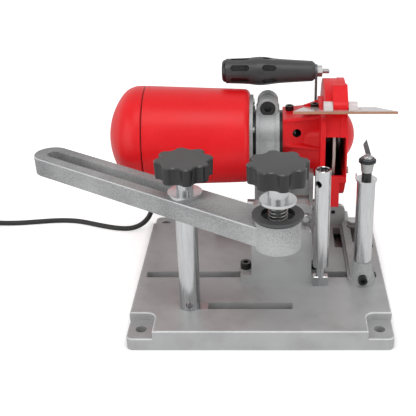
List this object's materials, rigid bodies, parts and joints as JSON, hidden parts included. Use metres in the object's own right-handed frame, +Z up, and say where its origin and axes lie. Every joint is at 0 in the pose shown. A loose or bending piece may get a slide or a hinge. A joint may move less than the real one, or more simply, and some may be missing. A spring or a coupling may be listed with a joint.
{
  "type": "saw blade sharpener",
  "caption": "Bench grinder for circular saw blades: grey slotted base, red swinging motor with guarded dish wheel, slotted blade arm with star knobs, sprung tooth stop.",
  "frame": {"origin": "centre of the four bench bolt holes, on the underside of the base", "axes": "+X along the motor shaft towards the wheel, +Y away from the operator, +Z up"},
  "size_m": [0.6653, 0.3667, 0.2663],
  "materials": {
    "grey_casting": "satin grey enamel over a sand casting",
    "red_paint": "semi-gloss red enamel",
    "bare_aluminium": "machined, satin",
    "zinc_steel": "zinc plated",
    "plated_tube": "bright plated",
    "dark_steel": "blackened",
    "grey_steel": "plain sheet steel",
    "hidden_motor": "plain",
    "grinding_grit": "bonded grit on a steel dish",
    "black_plastic": "moulded, matte black",
    "black_grip": "satin black",
    "clear_acrylic": "clear sheet",
    "cord_rubber": "matte black"
  },
  "bodies": {
    "base": {"base_plate": "grey_casting", "rear_bracket": "grey_casting", "bracket_screws": "dark_steel", "stop_foot": "plated_tube", "pawl_clamp_plate": "zinc_steel", "pawl_bolt": "zinc_steel"},
    "post": {"arm_post": "plated_tube", "post_key": "zinc_steel"},
    "carrier": {"clamp_stud": "zinc_steel", "clamp_flange": "plated_tube"},
    "arm_knob": {"arm_knob": "black_plastic"},
    "arm": {"blade_arm": "grey_casting", "blade_seat": "dark_steel", "blade_stud": "zinc_steel", "blade_spring": "dark_steel"},
    "blade_flange": {"blade_flange": "plated_tube"},
    "blade_knob": {"blade_knob": "black_plastic"},
    "tower": {"tower_bracket": "grey_casting", "tower_screws": "dark_steel", "tower_nuts": "zinc_steel", "hinge_plate": "grey_casting", "pivot_block": "bare_aluminium", "hinge_bolts": "zinc_steel", "pivot_screw": "zinc_steel", "cord_run": "cord_rubber", "cord_coil": "cord_rubber", "cord_tie": "cord_rubber", "mains_plug": "cord_rubber"},
    "head": {"swing_arm": "bare_aluminium", "collar_screw": "dark_steel", "motor_shell": "red_paint", "motor_dome_cap": "red_paint", "motor_flange": "bare_aluminium", "pan_screws": "zinc_steel", "stator": "hidden_motor", "tail_bracket": "hidden_motor", "bearings": "hidden_motor", "spindle_housing": "red_paint", "guard_body": "red_paint", "guard_cover": "red_paint", "handle_plate": "grey_steel", "housing_screws": "dark_steel", "handle_stud": "zinc_steel", "shield_screw": "zinc_steel", "switch_frame": "black_plastic", "cord_gland": "cord_rubber"},
    "spindle": {"spindle_shaft": "dark_steel", "rotor": "hidden_motor", "grinding_wheel": "grinding_grit", "wheel_nut": "zinc_steel"},
    "grip": {"handle_grip": "black_grip"},
    "shield": {"spark_shield": "clear_acrylic"},
    "switch": {"switch_rocker": "black_plastic"},
    "stop_post": {"stop_post": "plated_tube"},
    "pawl": {"pawl_arm": "grey_casting", "pawl_clamp_screw": "dark_steel", "pawl_tube": "plated_tube"},
    "pawl_rod": {"pawl_rod": "zinc_steel", "pawl_collar": "zinc_steel"},
    "finger": {"pawl_finger": "grey_steel"}
  },
  "joints": [
    {"name": "post_slide", "type": "slide", "parent": "base", "child": "post", "axis": [1, 0, 0], "range_m": [0, 0.015]},
    {"name": "arm_swing", "type": "hinge", "parent": "post", "child": "carrier", "pos_m": [-0.0815, -0.0975, 0.1455], "axis": [0, 0, 1], "range_deg": [0, 20]},
    {"name": "arm_slide", "type": "slide", "parent": "carrier", "child": "arm", "axis": [0.829, -0.5592, 0], "range_m": [0, 0.12]},
    {"name": "arm_knob_turn", "type": "hinge", "parent": "carrier", "child": "arm_knob", "pos_m": [-0.0815, -0.0975, 0.1905], "axis": [0, 0, 1], "continuous": true},
    {"name": "blade_flange_press", "type": "slide", "parent": "arm", "child": "blade_flange", "axis": [0, 0, 1], "range_m": [-0.004, 0], "stiffness_N_per_m": 2000, "springref_m": 0.003, "deforming": ["blade_spring"]},
    {"name": "blade_knob_turn", "type": "hinge", "parent": "blade_flange", "child": "blade_knob", "pos_m": [0.01881, -0.16516, 0.2154], "axis": [0, 0, 1], "continuous": true},
    {"name": "tower_slide", "type": "slide", "parent": "base", "child": "tower", "axis": [1, 0, 0], "range_m": [-0.01, 0.0015]},
    {"name": "head_swing", "type": "hinge", "parent": "tower", "child": "head", "pos_m": [0.02, 0.02, 0.098], "axis": [1, 0, 0], "range_deg": [0, 8]},
    {"name": "spindle_spin", "type": "hinge", "parent": "head", "child": "spindle", "pos_m": [0.0862, 0.06, 0.174], "axis": [1, 0, 0], "continuous": true},
    {"name": "grip_spin", "type": "hinge", "parent": "head", "child": "grip", "pos_m": [0, 0.087, 0.2488], "axis": [1, 0, 0], "continuous": true},
    {"name": "shield_hinge", "type": "hinge", "parent": "head", "child": "shield", "pos_m": [0.092, 0.006, 0.231], "axis": [1, 0, 0], "range_deg": [0, 25]},
    {"name": "switch_rock", "type": "hinge", "parent": "head", "child": "switch", "pos_m": [-0.08, 0.125, 0.174], "axis": [1, 0, 0], "range_deg": [-8, 8]},
    {"name": "stop_post_turn", "type": "hinge", "parent": "base", "child": "stop_post", "pos_m": [0.071, -0.05, 0.0515], "axis": [0, 0, 1], "continuous": true},
    {"name": "pawl_slide", "type": "slide", "parent": "base", "child": "pawl", "axis": [0, 1, 0], "range_m": [-0.01, 0]},
    {"name": "pawl_rod_lift", "type": "slide", "parent": "pawl", "child": "pawl_rod", "axis": [0, 0, 1], "range_m": [-0.007, 0.01]},
    {"name": "finger_flick", "type": "hinge", "parent": "pawl_rod", "child": "finger", "pos_m": [0.1215, -0.04, 0.185], "axis": [0, 0, -1], "range_deg": [0, 40], "stiffness_Nm_per_rad": 0.2}
  ]
}
